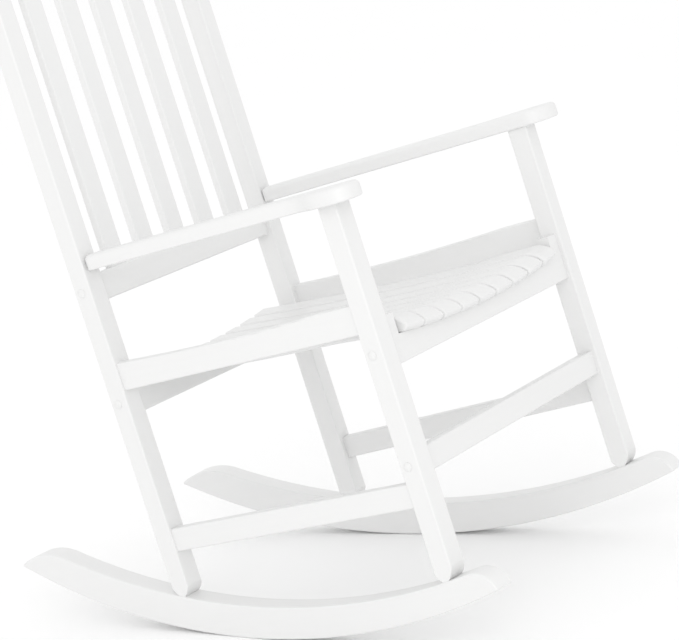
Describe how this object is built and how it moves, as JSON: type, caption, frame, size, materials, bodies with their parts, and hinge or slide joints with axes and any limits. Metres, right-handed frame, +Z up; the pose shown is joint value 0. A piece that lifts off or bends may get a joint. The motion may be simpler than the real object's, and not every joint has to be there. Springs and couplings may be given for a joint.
{
  "type": "rocking chair",
  "caption": "High-backed slatted porch rocking chair with splayed side frames, dished front-to-back seat slats, flared flat arms and long curved rockers, painted white.",
  "frame": {"origin": "floor level under the middle of the chair's bounding box, at its resting balance on the rockers", "axes": "+Z up, front faces -Y, +X to the sitter's left"},
  "size_m": [0.6212, 0.8508, 1.1146],
  "materials": {
    "painted_wood": "satin white paint over close-grained hardwood, arrises softly rounded",
    "cap_plastic": "moulded white caps over the bolt heads",
    "zinc_steel": "zinc plated",
    "dowel_wood": "bare beech dowel"
  },
  "bodies": {
    "root": {"back_post_right": "painted_wood", "front_leg_right": "painted_wood", "side_seat_rail_right": "painted_wood", "side_stretcher_right": "painted_wood", "rocker_right": "painted_wood", "arm_right": "painted_wood", "back_post_left": "painted_wood", "front_leg_left": "painted_wood", "side_seat_rail_left": "painted_wood", "side_stretcher_left": "painted_wood", "rocker_left": "painted_wood", "arm_left": "painted_wood", "crest_rail": "painted_wood", "lower_back_rail": "painted_wood", "front_stretcher": "painted_wood", "rear_apron": "painted_wood", "front_apron": "painted_wood", "back_slat_1": "painted_wood", "back_slat_2": "painted_wood", "back_slat_3": "painted_wood", "back_slat_4": "painted_wood", "back_slat_5": "painted_wood", "seat_slat_1": "painted_wood", "seat_slat_2": "painted_wood", "seat_slat_3": "painted_wood", "seat_slat_4": "painted_wood", "seat_slat_5": "painted_wood", "seat_slat_6": "painted_wood", "seat_slat_7": "painted_wood", "seat_slat_8": "painted_wood", "seat_slat_9": "painted_wood", "bolt_caps": "cap_plastic", "frame_bolts": "zinc_steel", "barrel_nuts": "zinc_steel", "rocker_dowels": "dowel_wood", "arm_dowels": "dowel_wood", "seat_dowels": "dowel_wood"}
  },
  "joints": []
}
